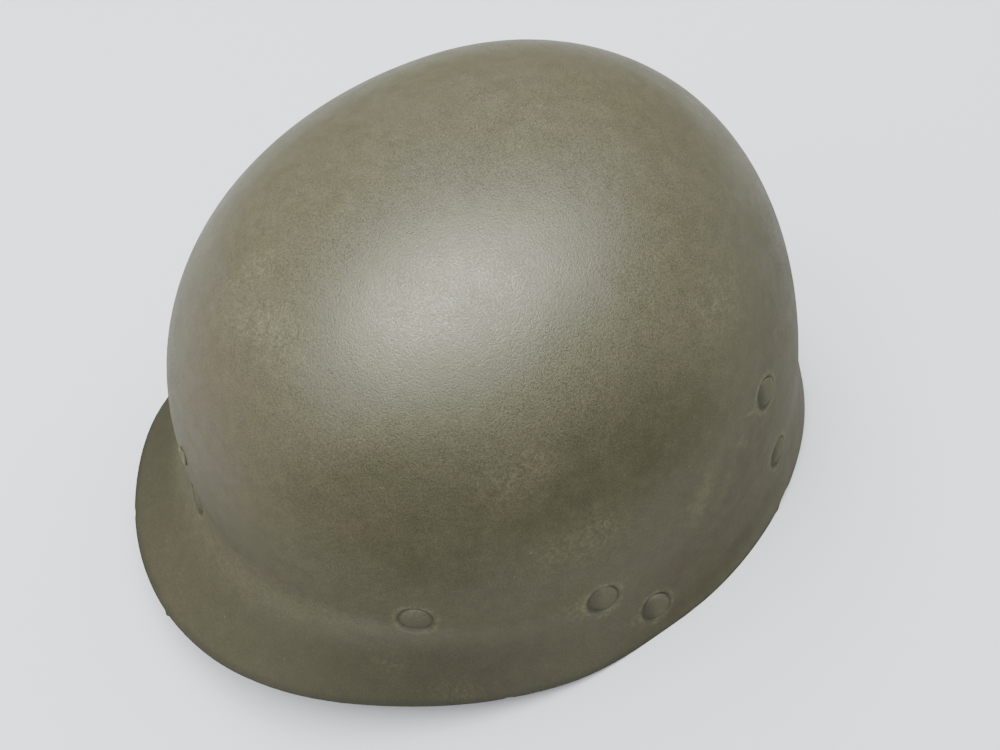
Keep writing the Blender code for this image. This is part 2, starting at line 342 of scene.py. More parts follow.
def chipped(azimuth_deg, level):
    """Levels near the rim, pulled back where the rim is chipped."""
    near_rim = smooth((level - CHIP_START) / (2 - CHIP_START))
    pulled = np.zeros_like(level)
    for azimuth, width, depth in CHIP_ROWS:
        along = np.radians(azimuth_deg - azimuth) * RIM_RADIUS / (width * MM / 2)
        pulled += depth * MM * np.exp(-np.abs(along) ** CHIP_SHARPNESS)
    return level - near_rim * pulled / BRIM_LENGTH


def pressed(points):
    """Points of the outer face pushed into the dishes round the rivets."""
    points = points.copy()
    for matrix in seats.values():
        local = seen_from(matrix, points)
        radius = np.hypot(local[:, 0], local[:, 1])
        close = (radius < 2 * DISH_LIP) & (np.abs(local[:, 2]) < DISH_LIP)
        floor = 1 - smooth((radius - DISH_FLOOR) / (DISH_LIP - DISH_FLOOR))
        lip = LIP_RISE * np.exp(-((radius - DISH_LIP) / LIP_WIDTH) ** 2)
        aside = np.abs(local[:, 0]) - DISH_LIP
        ear = EAR_RISE * np.exp(-(aside ** 2 + local[:, 1] ** 2) / EAR_RADIUS ** 2)
        height = local[:, 2] * (1 - floor) - DISH_DEPTH * floor + lip + ear
        local[:, 2] = np.where(close, height, local[:, 2])
        turn_back = np.array(matrix.to_3x3()).T
        points[close] = local[close] @ turn_back + np.array(matrix.translation)
    return points


# %% [markdown]
# ## The shell's mesh
# The outer face is a grid: a ring of points for each level, joined to the ring above. Each point
# keeps its azimuth and level as mesh attributes. Splitting the faces round a rivet puts new points
# halfway, in a straight line, and the kept coordinates then tell where the true curve runs. After
# that, Solidify gives the wall, Bevel rounds the cut edge, and the foot is ground flat at z = 0.

# %% Fineness of the mesh
COLUMN_STEP_DEG = 2
DOME_ROWS = 70
BRIM_ROWS_COUNT = 22
FINE_RADIUS = 9.5 * MM      # faces nearer than this to a rivet, a chip or the scratch are split
FINE_CUTS = 5
CHIP_LEVEL = 1.98           # where a chip's faces are looked for
SCRATCH_SPOT = (120.5, 0.412)   # azimuth and height share of a thin scratch by the rear rivet


def grid_mesh():
    """The outer face as a plain grid with its coordinates as vertex layers."""
    grid = bmesh.new()
    azimuth_layer = grid.verts.layers.float.new("azimuth")
    level_layer = grid.verts.layers.float.new("level")
    azimuths = np.arange(-180.0, 180.0, COLUMN_STEP_DEG)
    levels = np.concatenate([
        np.arange(1, DOME_ROWS + 1) / DOME_ROWS,
        1 + np.arange(1, BRIM_ROWS_COUNT + 1) / BRIM_ROWS_COUNT,
    ])
    crown = grid.verts.new(outer_point(0.0, 0.0))
    above = None
    for level in levels:
        ring = []
        for azimuth in azimuths:
            vertex = grid.verts.new(outer_point(azimuth, level))
            vertex[azimuth_layer] = azimuth
            vertex[level_layer] = level
            ring.append(vertex)
        count = len(ring)
        for i in range(count):
            j = (i + 1) % count
            if above is None:
                grid.faces.new((crown, ring[i], ring[j]))
            else:
                grid.faces.new((above[i], ring[i], ring[j], above[j]))
        above = ring
    return grid


def refine(grid):
    """Splits the faces near rivets, the eyelet, chips and the scratch."""
    spots = [matrix.translation for matrix in (*seats.values(), eyelet_seat)]
    spots += [Vector(outer_point(azimuth, CHIP_LEVEL)) for azimuth, _, _ in CHIP_ROWS]
    spots.append(seat(*SCRATCH_SPOT).translation)
    near = [
        face for face in grid.faces
        if any((face.calc_center_median() - spot).length < FINE_RADIUS for spot in spots)
    ]
    edges = {edge for face in near for edge in face.edges}
    bmesh.ops.subdivide_edges(grid, edges=list(edges), cuts=FINE_CUTS, use_grid_fill=True)
    return len(near)


def place_points(grid):
    """Puts every point on the true curve, with dishes and chips."""
    azimuth_layer = grid.verts.layers.float["azimuth"]
    level_layer = grid.verts.layers.float["level"]
    verts = [vertex for vertex in grid.verts if vertex[level_layer] > 0]
    azimuths = np.array([vertex[azimuth_layer] for vertex in verts])
    levels = np.array([vertex[level_layer] for vertex in verts])
    points = pressed(outer_point(azimuths, chipped(azimuths, levels)))
    for vertex, point in zip(verts, points):
        vertex.co = point


shell_grid = grid_mesh()
split_faces = refine(shell_grid)
place_points(shell_grid)
print("outer face:", len(shell_grid.faces), "faces,", split_faces, "of them were split")

# %% Give the shell its wall
EDGE_ROUND = 0.45 * MM
EDGE_SEGMENTS = 3
EDGE_ANGLE_DEG = 55         # only the cut edges are this sharp
SHELL_CREASE_DEG = 40       # edges sharper than this aren't shaded smooth
BORE_RADIUS = 1.3 * MM
SHANK_RADIUS = 1.6 * MM
EYELET_TUBE_WALL = 0.3 * MM
HOLE_SIDES = 32


def new_object(name, mesh):
    """An object of a mesh, in the scene."""
    thing = bpy.data.objects.new(name, mesh)
    bpy.context.scene.collection.objects.link(thing)
    return thing


def applied(thing):
    """Applies a thing's modifiers to its mesh."""
    evaluated = thing.evaluated_get(bpy.context.evaluated_depsgraph_get())
    mesh = bpy.data.meshes.new_from_object(evaluated)
    thing.modifiers.clear()
    thing.data = mesh
    return thing


def hole_cutter():
    """One mesh of short rods, one through the wall at each seat."""
    rods = bmesh.new()
    holes = [(matrix, SHANK_RADIUS + CLEARANCE) for matrix in seats.values()]
    holes.append((eyelet_seat, BORE_RADIUS + EYELET_TUBE_WALL + CLEARANCE))
    for matrix, radius in holes:
        bmesh.ops.create_cone(
            rods, segments=HOLE_SIDES, radius1=radius, radius2=radius, depth=6 * WALL,
            cap_ends=True, matrix=matrix,
        )
    mesh = bpy.data.meshes.new("holes")
    rods.to_mesh(mesh)
    rods.free()
    return new_object("holes", mesh)


def make_shell(grid):
    """The moulded shell with its wall, rounded rim, ground foot and rivet holes."""
    mesh = bpy.data.meshes.new("moulded_shell")
    bmesh.ops.recalc_face_normals(grid, faces=grid.faces)
    grid.to_mesh(mesh)
    grid.free()
    mesh.shade_smooth()
    shell = new_object("moulded_shell", mesh)
    wall = shell.modifiers.new("wall", "SOLIDIFY")
    wall.thickness = WALL
    wall.offset = -1
    edge = shell.modifiers.new("rounded rim", "BEVEL")
    edge.width = EDGE_ROUND
    edge.segments = EDGE_SEGMENTS
    edge.limit_method = "ANGLE"
    edge.angle_limit = math.radians(EDGE_ANGLE_DEG)
    applied(shell)
    for vertex in shell.data.vertices:
        vertex.co.z = max(vertex.co.z, 0)   # the ground foot
    cutter = hole_cutter()
    holes = shell.modifiers.new("holes", "BOOLEAN")
    holes.object = cutter
    holes.solver = "EXACT"
    applied(shell)
    bpy.data.objects.remove(cutter)
    shell.data.shade_smooth()
    shell.data.set_sharp_from_angle(angle=math.radians(SHELL_CREASE_DEG))
    return shell


shell = make_shell(shell_grid)
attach(shell, "root")
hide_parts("shell")
print("shell:", len(shell.data.polygons), "faces")

# %% [markdown]
# ## Rivets and the eyelet
# A rivet is turned: a low domed head, its shank and the disc that it was clinched over. Turning a
# half profile with the Screw modifier gives all of it at once, the same at every seat. The
# head's edge curls down into the dish, because paint has filled the corner there. The eyelet is a
# little tube with a rolled flange, left open, since light falls through it on the real one.

# %% The turning
TURN_STEPS = 48
TURNED_CREASE_DEG = 35


def turned(name, profile, matrix, closed=False, tilt_deg=0.0):
    """A piece turned from (radius, height) points that run top to bottom, set on its seat."""
    count = len(profile)
    edges = [(i, i + 1) for i in range(count - 1)] + ([(count - 1, 0)] if closed else [])
    mesh = bpy.data.meshes.new(name)
    mesh.from_pydata([(radius, 0, height) for radius, height in profile], edges, [])
    piece = new_object(name, mesh)
    screw = piece.modifiers.new("turn", "SCREW")
    screw.steps = TURN_STEPS
    screw.render_steps = TURN_STEPS
    screw.use_merge_vertices = True
    screw.merge_threshold = 0.01 * MM
    applied(piece)
    lean = Matrix.Rotation(math.radians(tilt_deg), 3, "Y")
    for vertex in piece.data.vertices:
        if vertex.co.z > -DISH_DEPTH:       # the head alone leans
            vertex.co = lean @ vertex.co
    piece.data.transform(matrix)
    piece.data.shade_smooth()
    piece.data.set_sharp_from_angle(angle=math.radians(TURNED_CREASE_DEG))
    return piece


INSIDE_FACE = -WALL - CLEARANCE     # the height at which a clinched part begins
print("turned pieces reach the inside at, mm:", round(INSIDE_FACE / MM, 2))

# %% Rivets
HEAD_RISE = 0.35 * MM
HEAD_FOOT = -DISH_DEPTH + CLEARANCE / 10    # just over the dish's floor
HEAD_SHARES = [0, 0.2, 0.4, 0.58, 0.72, 0.83, 0.91, 0.965, 0.99, 1.0]
HEAD_FLATNESS = 3.2         # a higher power keeps the middle flat for longer
HEAD_SHOULDER = 0.6
CLINCH_RADIUS = 4.2 * MM
CLINCH_THICKNESS = 0.8 * MM
CLINCH_TOP_BEVEL = 0.2 * MM
CLINCH_END_BEVEL = 0.25 * MM
# The press drove some heads in askew: their front edge lies deeper, by these angles.
HEAD_TILTS = {"rivet_side": 6.0, "rivet_strap": 8.0, "rivet_rear": 8.0, "rivet_nape": 8.0}


def rivet_profile():
    """The painted head, the shank and the clinched disc."""
    rise = DISH_DEPTH + HEAD_RISE
    head = [
        (HEAD_RADIUS * share, HEAD_FOOT + rise * (1 - share ** HEAD_FLATNESS) ** HEAD_SHOULDER)
        for share in HEAD_SHARES
    ]
    end = INSIDE_FACE - CLINCH_THICKNESS
    return head + [
        (SHANK_RADIUS, HEAD_FOOT),
        (SHANK_RADIUS, INSIDE_FACE),
        (CLINCH_RADIUS - CLINCH_TOP_BEVEL, INSIDE_FACE),
        (CLINCH_RADIUS, INSIDE_FACE - CLINCH_TOP_BEVEL),
        (CLINCH_RADIUS, end + CLINCH_END_BEVEL),
        (CLINCH_RADIUS - CLINCH_END_BEVEL, end),
        (0, end),
    ]


def tilt_of(seat_name):
    """How far a rivet's head leans, in degrees."""
    return HEAD_TILTS.get(seat_name.rsplit("_", 1)[0], 0.0)


rivets = []
for seat_name, matrix in seats.items():
    side = 1 if seat_name.endswith("right") else -1
    rivet = turned(
        seat_name + "_head", rivet_profile(), matrix, tilt_deg=side * tilt_of(seat_name))
    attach(rivet, "root")
    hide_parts(seat_name)
    rivets.append(rivet)
print(len(rivets), "rivets of", len(rivets[0].data.polygons), "faces each")

# %% The eyelet
EYELET_RADIUS = 3.4 * MM
EYELET_ROLL = 0.35 * MM
ROLL_HEIGHT = 0.45 * MM
ROLL_STEPS = 8
INNER_FLANGE = 0.4 * MM
INNER_DISH = 0.1 * MM       # the inner flange's middle lies a little deeper than its edge


def eyelet_profile():
    """Rolled outer flange, tube, plain inner flange and the bore back up."""
    middle = (BORE_RADIUS + EYELET_RADIUS) / 2
    half = (EYELET_RADIUS - BORE_RADIUS) / 2
    angles = [math.pi * step / ROLL_STEPS for step in range(ROLL_STEPS + 1)]
    roll = [
        (middle - half * math.cos(angle), EYELET_ROLL + ROLL_HEIGHT * math.sin(angle))
        for angle in angles
    ]
    tube = BORE_RADIUS + EYELET_TUBE_WALL
    return roll + [
        (EYELET_RADIUS, EYELET_ROLL * 0.2),
        (tube, EYELET_ROLL * 0.2),
        (tube, INSIDE_FACE),
        (EYELET_RADIUS, INSIDE_FACE),
        (EYELET_RADIUS, INSIDE_FACE - INNER_FLANGE),
        (BORE_RADIUS, INSIDE_FACE - INNER_FLANGE - INNER_DISH),
    ]


eyelet = turned("rolled_eyelet", eyelet_profile(), eyelet_seat, closed=True)
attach(eyelet, "root")
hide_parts("front_eyelet")
print("eyelet:", len(eyelet.data.polygons), "faces")

# %% [markdown]
# ## The marks of use
# Years of handling left a brownish haze on the brow, pale rubbed patches, dirt low at the back,
# and stretches where the olive is still clean and green. Such soft marks don't repeat, so noise
# alone can't place them. Each is a row of a short table: where it lies, how long and wide it is and
# how it leans. Their strengths are stored on the shell's points, and noise breaks them up later.

# %% Table of the marks
MARK_ROWS = {
    # each row: azimuth, height mm, length mm, width mm, lean deg from level, strength
    "haze": [
        (6, 112, 26, 15, 80, 0.9),
        (14, 88, 22, 20, 70, 0.5),
        (2, 62, 12, 16, 0, 0.6),
        (44, 24, 26, 8, 0, 0.7),
        (18, 28, 14, 8, 0, 0.2),
        (-40, 60, 30, 20, 30, 0.7),
        (-120, 90, 34, 24, 60, 0.7),
        (172, 70, 30, 22, 80, 0.6),
    ],
    "dust": [
        (5, 138, 9, 5, 70, 0.9),
        (12, 130, 15, 6, 25, 0.9),
        (20, 127, 9, 5, 10, 0.7),
        (121, 110, 15, 12, 0, 0.6),
        (82, 63, 8, 9, 20, 0.75),
        (73, 60, 9, 11, 60, 0.5),
        (67, 93, 14, 8, 10, 0.5),
        (76, 28, 6, 7, 20, 1.0),
        (87, 12, 5, 4, 0, 1.0),
        (84, 34, 6, 4, 0, 0.7),
        (44, 25, 7, 4, 0, 0.9),
        (54, 15, 8, 4, 0, 0.9),
        (-70, 100, 22, 9, 20, 0.7),
        (-100, 40, 16, 8, 10, 0.6),
        (160, 120, 20, 9, 30, 0.7),
    ],
    "grime": [
        (117, 46, 34, 22, 35, 1.0),
        (100, 26, 26, 12, 20, 0.8),
        (132, 80, 26, 14, 80, 0.7),
        (60, 28, 28, 8, 0, 0.6),
        (-130, 40, 34, 18, 20, 0.8),
        (180, 34, 30, 12, 0, 0.7),
    ],
    "rust": [
        (70, 94, 5, 4, 20, 0.7),
        (64, 86, 8, 5, 10, 0.5),
        (71, 62, 5, 4, 40, 0.3),
        (40, 80, 6, 4, 20, 0.7),
        (128.4, 4, 4, 3, 0, 0.9),
        (-15, 100, 7, 5, 50, 0.6),
    ],
    "green": [
        (58, 86, 58, 22, 0, 1.0),
        (92, 90, 34, 22, 0, 0.9),
        (50, 62, 30, 14, 0, 0.6),
        (108, 10, 50, 7, 8, 0.8),
        (45, 100, 30, 16, 20, 0.5),
        (-60, 110, 40, 26, 20, 0.7),
        (150, 100, 30, 24, 0, 0.7),
    ],
    "wiped": [
        (105, 50, 13, 3.0, 62, 0.9),
        (112, 50, 15, 2.0, 52, 0.7),
        (103, 52, 10, 1.6, 60, 0.6),
        (120.5, 67.3, 4.5, 0.7, -24, 1.0),
        (118, 57, 16, 1.2, -48, 0.4),
        (-95, 70, 14, 1.4, 35, 0.6),
        (155, 60, 12, 0.8, -30, 0.6),
    ],
}
print("marks:", {kind: len(rows) for kind, rows in MARK_ROWS.items()})

# %% Marks on the points
MARK_DEPTH = 30 * MM        # keeps a mark off the far side of the shell


def mark_strength(points, row):
    """How strongly one mark covers each point."""
    azimuth, height_mm, length_mm, width_mm, lean_deg, strength = row
    local = seen_from(seat(azimuth, height_mm * MM / SHELL_HEIGHT), points)
    lean = math.radians(lean_deg)
    along = local[:, 0] * math.cos(lean) + local[:, 1] * math.sin(lean)
    aside = local[:, 1] * math.cos(lean) - local[:, 0] * math.sin(lean)
    spread = (along / (length_mm * MM)) ** 2 + (aside / (width_mm * MM)) ** 2
    deep = (local[:, 2] / MARK_DEPTH) ** 2
    return strength * np.exp(-spread - deep)


def store(mesh, name, values):
    """Keeps a number for each point of a mesh, for its material to read."""
    kept = mesh.attributes.new(name, "FLOAT", "POINT")
    kept.data.foreach_set("value", np.asarray(values, np.float32))


def positions(mesh):
    """A mesh's points as rows of an array."""
    flat = np.empty(3 * len(mesh.vertices))
    mesh.vertices.foreach_get("co", flat)
    return flat.reshape(-1, 3)


shell_points = positions(shell.data)
for mark, rows in MARK_ROWS.items():
    strengths = sum(mark_strength(shell_points, row) for row in rows)
    store(shell.data, mark, np.clip(strengths, 0, 1))
print("stored:", [a.name for a in shell.data.attributes if a.data_type == "FLOAT"])

# %% [markdown]
# Other marks follow the form, so they are found from it. Painted shade darkens the groove round
# each head, deepest where a head sank in askew, and the paint on the lip beyond it is rubbed pale.
# The same goes for the eyelet's rolled flange. The cut rim has a dark line: dirt and painted shade.

# %% Worn lips and painted shade in the grooves
LIP_BAND = 0.9 * MM
GROOVE_RADIUS = 5.75 * MM
GROOVE_BAND = 0.55 * MM
EVEN_SHADE = 0.7             # painted shade round a head that sits straight
FULL_TILT_DEG = 10          # a head this askew has all its painted shade at the sunken side
GROOVE_TO_FRONT = 0.3       # how far round from the front the painted shade reaches
SUNKEN_FROM = 0.2           # where on the head painted shade starts, in head radii behind its middle
SUNKEN_FADE = 0.9
RIM_BAND = 1.6 * MM


def round_seat(matrix, points):
    """Each point's place beside a seat, its distance from the axis, and if it is on that face."""
    local = seen_from(matrix, points)
    return local, np.hypot(local[:, 0], local[:, 1]), np.abs(local[:, 2]) < WALL / 2


def painted_groove_shade(points):
    """Painted shade in the grooves round the rivet heads and on the sunken side of askew heads."""
    darkening = np.zeros(len(points))
    for seat_name, matrix in seats.items():
        local, radius, close = round_seat(matrix, points)
        to_front = local[:, 0] if seat_name.endswith("right") else -local[:, 0]
        askew = tilt_of(seat_name) / FULL_TILT_DEG
        front = smooth(to_front / np.maximum(radius, MM) + GROOVE_TO_FRONT)
        share = EVEN_SHADE * (1 - askew) + askew * front
        darkening += close * share * np.exp(-((radius - GROOVE_RADIUS) / GROOVE_BAND) ** 2)
        sunken = smooth((to_front / HEAD_RADIUS + SUNKEN_FROM) / SUNKEN_FADE)
        darkening += close * askew * sunken * (radius < GROOVE_RADIUS)
    return np.clip(darkening, 0, 1)


def lip_wear(points):
    """The rubbed paint on the lips round the dishes."""
    wear = np.zeros(len(points))
    for matrix in seats.values():
        _, radius, close = round_seat(matrix, points)
        wear += close * np.exp(-((radius - DISH_LIP - LIP_BAND) / LIP_BAND) ** 2)
    return np.clip(wear, 0, 1)


def rim_dirt_and_shade(points):
    """The dark line along the rim's edge: partly dirt, partly painted shade of the rounded edge."""
    apart = np.full(len(points), 1.0)
    for place in outer_point(np.arange(-180.0, 180.0), 2.0):
        apart = np.minimum(apart, np.linalg.norm(points - place, axis=1))
    return np.exp(-(apart / RIM_BAND) ** 2)


store(shell.data, "lip", lip_wear(shell_points))
store(shell.data, "groove", painted_groove_shade(shell_points))
store(shell.data, "rim", rim_dirt_and_shade(shell_points))
for rivet in rivets:
    store(rivet.data, "groove", painted_groove_shade(positions(rivet.data)))
flange_heights = seen_from(eyelet_seat, positions(eyelet.data))[:, 2]
worn_bright = smooth(flange_heights / EYELET_ROLL - 1)
for mark in ("wiped", "lip", "dust"):
    store(eyelet.data, mark, worn_bright)
print("worn points on the eyelet:", int((worn_bright > 0).sum()), "of", len(worn_bright))

# %% [markdown]
# The brim has three broad marks of its own. The peak's edge is darker, partly from dirt and partly
# as painted shade. The skirt between peak and ear carries painted shade, darker still, and mirrors
# nothing, and a pale line of dust lies in the fold where the wall turns into the peak. All three are
# placed by azimuth and level.

# %% Marks along the brim
PEAK_HALF_DEG = 62          # either side of the front
PEAK_FADE_DEG = 14
PEAK_LEVEL = 1.58
PEAK_SOFT = 0.35
SKIRT_MIDDLE_DEG = 52
SKIRT_SPREAD_DEG = 40
SKIRT_LEVEL = 0.95
SKIRT_SOFT = 0.75
FOLD_HALF_DEG = 38          # the dusty line fades out before the temples
FOLD_LEVEL = 1.38
FOLD_WIDTH = 0.18
BELOW = np.array([0, 0, -150 * MM])     # a point far below, which the inside faces
INSIDE_FADE = 40 * MM
SHELL_MIDDLE_Y = float(outer_point(90.0, 1.0)[1])
TABLE_STEP_DEG = 5
TABLE_LEVELS = np.linspace(0.6, 2, 57)


def brim_level(azimuths, heights):
    """The level of each point near the brim, read from a table of heights."""
    columns = np.arange(-180.0, 181.0, TABLE_STEP_DEG)
    table = np.array([outer_point(azimuth, TABLE_LEVELS)[:, 2] for azimuth in columns])
    place = (azimuths + 180) / TABLE_STEP_DEG
    column = np.clip(place.astype(int), 0, len(columns) - 2)
    share = (place - column)[:, None]
    around = table[column] * (1 - share) + table[column + 1] * share
    above = (around > heights[:, None]).sum(1)
    return TABLE_LEVELS[np.clip(above, 0, len(TABLE_LEVELS) - 1)]


def in_front(azimuths, half_deg):
    """1 within an angle of the front, fading to 0 on both sides of it."""
    return 1 - smooth((np.abs(azimuths) - half_deg + PEAK_FADE_DEG) / (2 * PEAK_FADE_DEG))


azimuths = np.degrees(np.arctan2(shell_points[:, 0], SHELL_MIDDLE_Y - shell_points[:, 1]))
levels = brim_level(azimuths, shell_points[:, 2])
peak = in_front(azimuths, PEAK_HALF_DEG) * smooth((levels - PEAK_LEVEL) / PEAK_SOFT + 0.5)
# the skirt gets painted shade in its colour and full roughness
skirt = np.exp(-((np.abs(azimuths) - SKIRT_MIDDLE_DEG) / SKIRT_SPREAD_DEG) ** 2)
skirt = skirt * smooth((levels - SKIRT_LEVEL) / SKIRT_SOFT)
fold = in_front(azimuths, FOLD_HALF_DEG) * np.exp(-((levels - FOLD_LEVEL) / FOLD_WIDTH) ** 2)
normals = np.array([vertex.normal for vertex in shell.data.vertices])
facing_down = -(normals * (shell_points - BELOW)).sum(1)
store(shell.data, "peak", peak)
store(shell.data, "skirt", skirt)
store(shell.data, "fold", fold)
store(shell.data, "inside", np.clip(facing_down / INSIDE_FADE, 0, 1))
print("stored:", [a.name for a in shell.data.attributes if a.data_type == "FLOAT"])

# %% [markdown]
# ## The paint
# Flat olive enamel was sprayed over the moulded fibre. It scatters light, so it is a plain
# Principled surface with a middle roughness, and its sheen comes from the light alone. The colour
# is layered: two olives in broad clouds, the stored marks on top, each cut up by finer noise, then
# tiny pale flecks. Some of it is painted shade: darker paint low down, on the brim and in the
# grooves round the rivets. The spray left an orange-peel grain about a millimetre across, which is
# bump, being far too fine for the mesh.

# %% Colours and the node helper
def linear(hex_colour):
    """An sRGB hex colour such as #6b6854 as linear RGBA."""
    parts = [int(hex_colour[i:i + 2], 16) / 255 for i in (1, 3, 5)]
    parts = [part / 12.92 if part <= 0.04045 else ((part + 0.055) / 1.055) ** 2.4 for part in parts]
    return (*parts, 1.0)


def add_node(tree, kind, settings=None, values=None, links=None):
    """Adds one node: its settings, the values of unlinked sockets, and what feeds the linked ones."""
    made = tree.nodes.new(kind)
    for key, value in (settings or {}).items():
        setattr(made, key, value)
    for socket, value in (values or {}).items():
        made.inputs[socket].default_value = value
    for socket, source in (links or {}).items():
        tree.links.new(source, made.inputs[socket])
    return made


def calculated(tree, operation, *terms):
    """One sum of numbers and sockets."""
    values = {i: term for i, term in enumerate(terms) if isinstance(term, (int, float))}
    links = {i: term for i, term in enumerate(terms) if i not in values}
    return add_node(tree, "ShaderNodeMath", {"operation": operation}, values, links).outputs[0]


def stored(tree, name):
    """A number that was kept on the mesh's points."""
    return add_node(tree, "ShaderNodeAttribute", {"attribute_name": name}).outputs["Fac"]


OLIVE = linear("#4f4d3b")
OLIVE_WARM = linear("#524f41")
OLIVE_GREEN = linear("#393721")
HAZE_BROWN = linear("#544c3e")
DUST_PALE = linear("#6b6b54")
GRIME_GREY = linear("#484333")
RUST_BROWN = linear("#564530")
FLECK_PALE = linear("#7f7c6a")
PEAK_DARK = linear("#464432")
RIM_DARK = linear("#302e24")
GROOVE_DARK = linear("#2b281f")
INSIDE_DARK = linear("#45443a")
# LOW_TINT warms the painted shade near the rim
LOW_TINT = linear("#fffbef")
PLAIN_TINT = linear("#ffffff")
print("olive, linear:", [round(value, 3) for value in OLIVE[:3]])

# %% [markdown]
# All the noises of the paint are in one table, their sizes in millimetres on the real helmet. A
# noise's middle values are stretched to run from 0 to 1, which sets how much of the paint it
# covers: high limits leave small separate spots.

# %% Noises
NOISE_ROWS = {
    # name: feature size in mm, detail, roughness, value that becomes 0, value that becomes 1, shift
    "cloud": (55, 4, 0.55, 0.35, 0.65, 0),
    "mottle": (12, 5, 0.6, 0.35, 0.68, 0),
    "broken": (1.7, 6, 0.72, 0.4, 0.66, 0),
    "fleck": (0.9, 2, 0.55, 0.66, 0.74, 0),
    "sparse": (12, 2, 0.55, 0.45, 0.7, 0.4),
    "speck": (0.5, 4, 0.7, 0.3, 0.7, 0),
    "blotch": (5, 4, 0.65, 0.3, 0.7, 0.9),
    "peel": (0.9, 2, 0.55, 0, 1, 0),
    "grain": (0.5, 2, 0.55, 0, 1, 0),
}
WEAVE_MM = 1.6              # coarser than real threads, which would be lost at this size
METRE_WAVE = math.pi / 10   # the scale at which a wave texture has one wave in each metre
WEAVE_WOBBLE = 1.2


def noise_at(tree, place, row):
    """One noise of the table, over the object's own coordinates in metres."""
    size_mm, detail, rough, low, high, shift = row
    if shift:
        place = add_node(
            tree, "ShaderNodeVectorMath", {"operation": "ADD"}, {1: (shift, shift, shift)}, {0: place}
        ).outputs[0]
    noise = add_node(
        tree, "ShaderNodeTexNoise", None,
        {"Scale": 1 / (size_mm * MM), "Detail": detail, "Roughness": rough}, {"Vector": place},
    )
    return add_node(
        tree, "ShaderNodeMapRange", {"interpolation_type": "SMOOTHSTEP"},
        {"From Min": low, "From Max": high}, {"Value": noise.outputs["Fac"]},
    ).outputs["Result"]


def weave(tree, place):
    """The cloth that shows through the paint inside: threads both ways."""
    threads = [
        add_node(
            tree, "ShaderNodeTexWave", {"bands_direction": direction},
            {
                "Scale": METRE_WAVE / (WEAVE_MM * MM),
                "Distortion": WEAVE_WOBBLE, "Detail": 1.0,
            },
            {"Vector": place},
        ).outputs["Fac"]
        for direction in ("DIAGONAL", "Z")
    ]
    return calculated(tree, "MAXIMUM", *threads)


print("noises:", list(NOISE_ROWS))

# %% [markdown]
# The marks are laid over the olive one after the other. How much of a mark shows at a point is its
# stored strength times a share, and the share is an even part plus a part that a noise breaks up.
# The flecks come in between, because the rim's dark line and the grooves' painted shade cover them
# too.

# %% The paint's colour
MARKS_UNDER_FLECKS = [
    # mark, its colour, the noise that breaks it up, the broken part, the even part
    ("green", OLIVE_GREEN, "mottle", 0.35, 0.6),
    ("haze", HAZE_BROWN, "mottle", 0.5, 0.3),
    ("grime", GRIME_GREY, "mottle", 0.3, 0.6),
    ("rust", RUST_BROWN, "broken", 0.6, 0.0),
    # the peak's darkening: partly dirt, partly painted shade
    ("peak", PEAK_DARK, "mottle", 0.2, 0.75),
    ("dust", DUST_PALE, "broken", 0.52, 0.0),
    ("fold", DUST_PALE, "broken", 0.25, 0.03),
    ("wiped", DUST_PALE, "broken", 0.25, 0.3),
    ("lip", DUST_PALE, "broken", 0.6, 0.08),
]
MARKS_OVER_FLECKS = [
    # the rim's dark line: partly dirt, partly painted shade of the rounded edge
    ("rim", RIM_DARK, "broken", 0.3, 0.65),
    ("inside", INSIDE_DARK, "broken", 0.0, 0.7),
    # painted shade in the grooves and on the sunken side of askew heads
    ("groove", GROOVE_DARK, "broken", 0.0, 0.8),
]
FLECKS_BROKEN = 0.25        # the flecks' own shares, broken up by the sparse noise
FLECKS_EVEN = 0.08
MIX_UNDER, MIX_OVER, MIX_RESULT = 6, 7, 2   # a Mix node's sockets for colours


def layered(tree, under, over, share):
    """A colour laid over another one by a share from 0 to 1."""
    values, links = {}, {"Factor": share}
    for socket, colour in ((MIX_UNDER, under), (MIX_OVER, over)):
        (values if isinstance(colour, tuple) else links)[socket] = colour
    settings = {"data_type": "RGBA", "clamp_factor": True}
    return add_node(tree, "ShaderNodeMix", settings, values, links).outputs[MIX_RESULT]


def with_marks(tree, colour, rows, noises):
    """A colour with a table's marks laid over it."""
    for mark, over, noise, broken_part, even_part in rows:
        share = calculated(tree, "MULTIPLY_ADD", noises[noise], broken_part, even_part)
        share = calculated(tree, "MULTIPLY", stored(tree, mark), share)
        colour = layered(tree, colour, over, share)
    return colour


def marked_olive(tree, noises):
    """The olive with its clouds, marks and flecks."""
    olive = layered(tree, OLIVE, OLIVE_WARM, noises["cloud"])
    olive = with_marks(tree, olive, MARKS_UNDER_FLECKS, noises)
    share = calculated(tree, "MULTIPLY_ADD", noises["sparse"], FLECKS_BROKEN, FLECKS_EVEN)
    share = calculated(tree, "MULTIPLY", noises["fleck"], share)
    olive = layered(tree, olive, FLECK_PALE, share)
    return with_marks(tree, olive, MARKS_OVER_FLECKS, noises)


print("layers of marks:", len(MARKS_UNDER_FLECKS) + len(MARKS_OVER_FLECKS))

# %% [markdown]
# Towards the rim the paint is darker and a little warmer, which is painted shade, and duller. That
# shade is a smooth function of height. Fine specks and blotches make it uneven.

# %% The paint's shade and roughness
# painted shade by height: the paint darkens and warms from high on the dome down to LOW_HEIGHT
LOW_HEIGHT = 40 * MM
UNSHADED_HEIGHT = 136 * MM
LOW_SHADE = 0.66
LOW_ROUGHNESS = 0.22        # is added at the bottom
